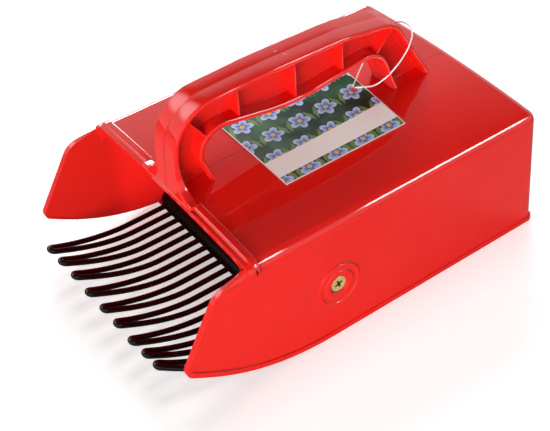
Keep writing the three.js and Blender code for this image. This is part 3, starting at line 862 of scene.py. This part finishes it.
def red_plastic(name, depth, roughness, ior, glow):
    red = Finish(name, {"IOR": ior, "Emission Strength": glow})
    # painted light: the room inside glows, standing for light through the thin walls, and fades towards the
    # mouth
    in_room = (red.y - deck_front).ramp(*glow_rise) * (1 - red.z.ramp(*room_top))
    red.give("Emission Color", red.mixed(in_room, colour(0.02, 0, 0), colour(0.4, 0.005, 0.006)))
    seam_reach = red.z.ramp(*seam_bottom) - red.z.ramp(*seam_top)
    # the parting line is a groove in the bump, and is painted a darker red below, as painted shade in it
    parting_groove_and_shade = (1 - abs(red.x).ramp(*seam_width)) * seam_reach
    # depth below one paints the red darker, as painted shade for the faces inside and the web
    darker, lighter = (0.76 * depth, 0.009, 0.006), (0.87 * depth, 0.017, 0.011)
    plain = red.mixed(red.noise(45 * mm), colour(*darker), colour(*lighter))
    red.give("Base Color", red.mixed(parting_groove_and_shade * 0.7, plain, colour(0.4, 0.001, 0.002)))
    red.give("Roughness", red.noise(6 * mm, 5) * (roughness / 2) + roughness * 0.75)
    off_ring = abs(red.near(*pin_place) - pin_radius)
    pin_mark = (1 - off_ring.ramp(0, pin_width)) * red.z.ramp(*above_deck)
    on_grip = red.z.ramp(grip_height, grip_height + mm)
    gates = sum((1 - red.near(*place).ramp(gate_size / 2, gate_size)) * on_grip for place in gate_places)
    off_middle = abs(red.x) / (handle_width / 4) - 1
    swell = (1 - off_middle * off_middle) * red.z.ramp(*up_the_leg)
    height = red.noise(9 * mm, 2) * 0.06 + swell * 2.5 - parting_groove_and_shade * 0.2 - pin_mark * 0.3 + gates * 3
    red.bumped(height, 0.1 * mm)
    return red


glossy_red = red_plastic("red_plastic", 1, 0.05, 1.5, 0)
# the inside copy is painted 15 % darker, as painted shade, and glows, as painted light
satin_shaded_red = red_plastic("red_plastic_inside", 0.85, 0.5, 1.4, 0.6)
glossy_red.paint(moulding)
print("red finishes:", glossy_red.material.name, satin_shaded_red.material.name)

# %% [markdown]
# The mould's core isn't polished, so the room's walls are duller, and so is the handle's web. They are
# also painted a darker red, as painted shade, and the room's walls carry the painted glow. Another
# piece could line the room, but the scoop is one moulding: each face gets its finish by its place,
# and only the lip's front stays glossy.

# %% Duller faces inside
inner_half, slack, deck_slack, web_low = top_width / 2 - wall, mm / 20, mm / 5, 75 * mm
# faces inside and on the web get the red with painted shade and painted glow
moulding.data.materials.append(satin_shaded_red.material)
for face in moulding.data.polygons:
    place = face.center
    half_here = inner_half + side_draft * (edge_height - place.z)
    under_deck = place.z < edge_height + crown_rise * (1 - (place.x / inner_half) ** 2) - wall + deck_slack
    inside = abs(place.x) < half_here + slack and place.y < deck_front + top_length - wall / 2 and under_deck
    on_web = abs(face.normal.x) > 0.99 and abs(place.x) < web / 2 + slack and place.z > web_low
    on_lip = face.normal.y < -0.9 and place.y < deck_front
    face.material_index = 1 if on_web or inside and not on_lip else 0
print("inside faces:", sum(face.material_index for face in moulding.data.polygons))

# %% [markdown]
# ### Black dip
# The comb is dipped in soft black plastic. It isn't quite black and isn't quite smooth: a noise varies
# its shade, and a low bump shows where the dip ran. The wires shine, and the bar, which lies in the
# shade of the mouth, is dull, so the same finish is made twice with another roughness.

# %% Black dip
def black_dip(name, roughness, ior):
    dip = Finish(name, {"IOR": ior})
    dip.give("Base Color", dip.mixed(
        dip.noise(8 * mm), colour(0.0015, 0.0015, 0.002), colour(0.004, 0.004, 0.004)))
    dip.give("Roughness", dip.noise(3 * mm) * 0.08 + roughness)
    dip.bumped(dip.noise(5 * mm, 2), 0.12 * mm)
    return dip


black_dip("black_dip", 0.1, 1.4).paint(*wires)
black_dip("black_dip_on_bar", 0.5, 1.25).paint(bar)
print("dipped pieces:", len(wires) + 1)

# %% [markdown]
# ### Yellow zinc and sheet steel
# The screws and rivets are zinc with a yellow chromate coat, which runs from gold to green within a
# millimetre or two. A recess holds little light, so its faces are painted a much darker zinc, as
# painted shade, picked by their place under the head. The floor and the nuts are plain sheet steel:
# its brushed grain is a noise stretched along the rake. These pieces come from the frame and keep
# their forms.

# %% Yellow zinc
recess_depth = 0.15 * mm


def yellow_zinc(name, shade):
    zinc = Finish(name, {"Metallic": 0.6})
    golden, greenish = (0.82 * shade, 0.62 * shade, 0.22 * shade), (0.84 * shade, 0.86 * shade, 0.34 * shade)
    spots = zinc.noise(2 * mm).ramp(0.35, 0.65)
    zinc.give("Base Color", zinc.mixed(spots, colour(*golden), colour(*greenish)))
    zinc.give("Roughness", zinc.noise(mm / 2) * 0.2 + 0.2)
    zinc.bumped(zinc.noise(mm / 4), 0.02 * mm)
    return zinc


# the second copy, at a sixth of the brightness, is painted shade for the cross recesses
zinc, zinc_painted_shade = yellow_zinc("yellow_zinc", 1), yellow_zinc("yellow_zinc_in_recess", 0.16)
zinc.paint(*(nodes[f"comb_rivet_{index + 1}"] for index in range(3)), *screws)
screw_axis = Vector((deck_front + screw_place, screw_height))
# painted shade: faces inside each cross recess get the dark zinc
for screw in screws:
    screw.data.materials.append(zinc_painted_shade.material)
    for face in screw.data.polygons:
        head_plane = top_width / 2 + side_draft * (edge_height - face.center.z) - screw_sink
        under_head = abs(face.center.x) < head_plane - recess_depth
        in_recess = under_head and (face.center.yz - screw_axis).length < cross_length / 2
        face.material_index = 1 if in_recess else 0
print("faces in each recess:", sum(face.material_index for face in screw.data.polygons))

# %% Sheet steel
grain = (1, 0.05, 1)
steel = Finish("sheet_steel", {"Metallic": 1})
steel.give("Base Color", steel.mixed(
    steel.noise(12 * mm, 4), colour(0.42, 0.43, 0.45), colour(0.56, 0.57, 0.58)))
steel.give("Roughness", steel.noise(mm, 3, grain) * 0.25 + 0.3)
steel.bumped(steel.noise(mm / 2, 3, grain), 0.02 * mm)
steel.paint(nodes["floor_tray"], nodes["side_nut_left"], nodes["side_nut_right"])
print("the floor and the nuts are steel")

# %% [markdown]
# ### White nylon
# The string is a single thread of milky nylon. Glass would be slow and hardly visible at this
# thickness, so it is a plain pale shader, a little uneven in its gloss.

# %% White nylon
nylon = Finish("clear_nylon", {"Base Color": colour(0.86, 0.86, 0.84), "IOR": 1.53})
nylon.give("Roughness", nylon.noise(2 * mm) * 0.2 + 0.2)
nylon.bumped(nylon.noise(mm), 0.05 * mm)
nylon.paint(nylon_string)
print("the string is nylon")

# %% [markdown]
# ### The printed card
# The print is a plain garden pattern of its own. Blue blossoms with five petals stand in a half-drop
# repeat on a blurred dark green ground, with a pair of pale leaves under each. A bare pale stripe runs
# along one side, the card's edge stays white, and so does its back. A picture file could hold it, but
# a pattern that is computed stays sharp from near by: first each form is a mask from none to all.

# %% Forms on the card
repeat_x, repeat_y = 15.5 * mm, 17 * mm
petal_reach, petal_count, petal_notch, heart_reach = 6.2 * mm, 5, 0.45, 1.5 * mm
leaf_reach, leaf_offset = 5.2 * mm, 6.4 * mm
stripe_start, stripe_width, card_edge = 39 * mm, 13 * mm, 0.45 * mm

card = Finish("printed_card", {"IOR": 1.35})
across = card.x - tag_left
along = card.y - (deck_front + tag_front)
column = (across / repeat_x).maths("FLOOR")
drop = (column / 2).maths("FRACT")
cell_x = ((across / repeat_x).maths("FRACT") - 0.5) * repeat_x
cell_y = ((along / repeat_y + drop).maths("FRACT") - 0.5) * repeat_y
reach = (cell_x * cell_x + cell_y * cell_y).maths("SQRT")
bearing = cell_y.maths("ARCTAN2", cell_x)
lobes = abs((bearing * (petal_count / 2)).maths("COSINE"))
petal_edge = (lobes * petal_notch + (1 - petal_notch)) * petal_reach
petals = 1 - (reach - petal_edge).ramp(-mm / 4, mm / 8)
petal_shade = (reach / petal_edge).ramp(0.25, 1)
heart = 1 - reach.ramp(heart_reach * 0.8, heart_reach)

leaf_y = abs(cell_y) - leaf_offset
leaf_form = abs(cell_x) / leaf_reach + abs(leaf_y - cell_x * 0.25) * 3 / leaf_reach
leaves = 1 - leaf_form.ramp(0.9, 1)
stripe_middle = stripe_start + stripe_width / 2
on_stripe = abs(across - stripe_middle).ramp(stripe_width / 2, stripe_width / 2 + mm / 10)
to_side = tag_width / 2 - abs(across - tag_width / 2)
to_end = tag_length / 2 - abs(along - tag_length / 2)
on_print = to_side.maths("MINIMUM", to_end).ramp(card_edge, card_edge + mm / 10)
print("the pattern repeats every", repeat_x / mm, "by", repeat_y / mm, "mm")

# %% [markdown]
# Then the colours are laid over one another through these masks, from the ground up. The back is bare
# board, and every face that looks down gets it.

# %% Colours of the card
ground = card.mixed(
    card.noise(13 * mm, 2).ramp(0.35, 0.7), colour(0.004, 0.012, 0.006), colour(0.03, 0.11, 0.045))
leafy = card.mixed(leaves, ground, colour(0.13, 0.25, 0.07))
petal_blue = card.mixed(petal_shade, colour(0.07, 0.13, 0.45), colour(0.52, 0.64, 0.92))
flowered = card.mixed(petals, leafy, petal_blue)
hearted = card.mixed(heart, flowered, colour(0.75, 0.50, 0.06))
striped = card.mixed(on_stripe, colour(0.92, 0.88, 0.84), hearted)
card.give("Base Color", card.mixed(on_print, colour(0.82, 0.77, 0.72), striped))
card.give("Roughness", card.noise(4 * mm) * 0.1 + 0.3)
card.paint(tag)

card_back = Finish("card_back", {"IOR": 1.4})
card_back.give("Base Color", card_back.mixed(
    card_back.noise(mm, 6), colour(0.74, 0.72, 0.68), colour(0.80, 0.78, 0.74)))
card_back.give("Roughness", card_back.noise(2 * mm) * 0.1 + 0.55)
tag.data.materials.append(card_back.material)
for face in tag.data.polygons:
    face.material_index = 1 if face.normal.z < 0 else 0
print("faces on the back of the card:", sum(face.material_index for face in tag.data.polygons))

# %% [markdown]
# ## Stage and light
# The rake stands on a white floor in a white room. An image of a real studio could light it, but a
# few plain values can be set one at a time. The camera sees the room and the floor as white, while
# the plastic mirrors a room that is dark overhead and bright lower down, with one soft glow high on
# the far side, and a floor that is darker than it looks.

# %% The floor and the room
floor_size = 6
bpy.ops.object.select_all(action="DESELECT")
bpy.ops.mesh.primitive_plane_add(size=floor_size)
floor = start_at_origin(bpy.context.object, "white_floor")
paper = Finish("white_paper", {"Roughness": 0.9})
seen = paper.node("ShaderNodeLightPath", {}, {}, "Is Camera Ray")
mirrored = paper.node("ShaderNodeLightPath", {}, {}, "Is Glossy Ray")
paper.give("Base Color", paper.mixed(mirrored, colour(0.85, 0.85, 0.85), colour(0.5, 0.5, 0.5)))
paper.give("Emission Color", colour(1, 1, 1))
paper.give("Emission Strength", seen * 0.5)
paper.paint(floor)

plain_light, low_gloss, high_gloss, dark_above = 0.12, 1.1, 0.12, (0.5, 0.72)
glow_direction, glow_edge, glow_gloss = (-0.617, -0.34, 0.71), 0.92, 4.5
sky = bpy.data.worlds.new("white_room")
bpy.context.scene.world = sky
sky.use_nodes = True
room = Graph(sky.node_tree)
ways = room.axes(room.node("ShaderNodeTexCoord", {}, {}, "Generated"))
facing_glow = sum(way * share for way, share in zip(ways, glow_direction))
seen = room.node("ShaderNodeLightPath", {}, {}, "Is Camera Ray")
mirrored = room.node("ShaderNodeLightPath", {}, {}, "Is Glossy Ray")
gloss = low_gloss - ways[2].ramp(*dark_above) * (low_gloss - high_gloss)
gloss = gloss + facing_glow.ramp(glow_edge, 1) * glow_gloss
backdrop = room.tree.nodes["Background"]
room.feed(backdrop.inputs["Color"], colour(1, 1, 1))
strength = plain_light + seen * (1 - plain_light) + mirrored * (gloss - plain_light)
room.feed(backdrop.inputs["Strength"], strength)
print("floor and room are in place")

# %% [markdown]
# A large soft lamp beside the camera lights the near wall, a weaker one opposite keeps the far sides
# readable, and one high above fills the rest. None of them shows in the gloss, where it would draw
# a patch. Three panels do the reverse: they show in the gloss alone, as bright lines on rounded edges.

# %% Lamps
lamp_reach = 1.5


def panel(name, direction, width, height, power):
    data = bpy.data.lights.new(name, "AREA")
    data.shape, data.size, data.size_y, data.energy = "RECTANGLE", width, height, power
    lamp = bpy.data.objects.new(name, data)
    outward = Vector(direction).normalized()
    upward = outward.cross((0, 1, 0)).normalized()
    turn = Matrix((upward.cross(outward), upward, outward)).transposed().to_4x4()
    lamp.matrix_world = Matrix.Translation(outward * lamp_reach) @ turn
    bpy.context.scene.collection.objects.link(lamp)
    return lamp


for name, direction, width, height, power in [
    ("key_lamp", (0.62, -0.77, 0.14), 1.0, 0.5, 28.5),
    ("far_lamp", (-0.66, 0.5, 0.56), 0.9, 0.5, 12),
    ("high_lamp", (-0.15, 0.2, 0.97), 0.6, 0.6, 5.5),
]:
    panel(name, direction, width, height, power).visible_glossy = False

for name, direction, width, height, radiance in [
    ("edge_panel", (0.643, 0.53, 0.561), 0.30, 0.32, 25),
    ("corner_panel", (0.667, 0.331, 0.66), 0.04, 0.32, 25),
    ("far_panel", (-0.87, 0.41, 0.26), 0.6, 0.5, 14),
]:
    glint = panel(name, direction, width, height, radiance * pi * width * height)
    glint.visible_diffuse = glint.visible_transmission = False
print("lamps are in place")
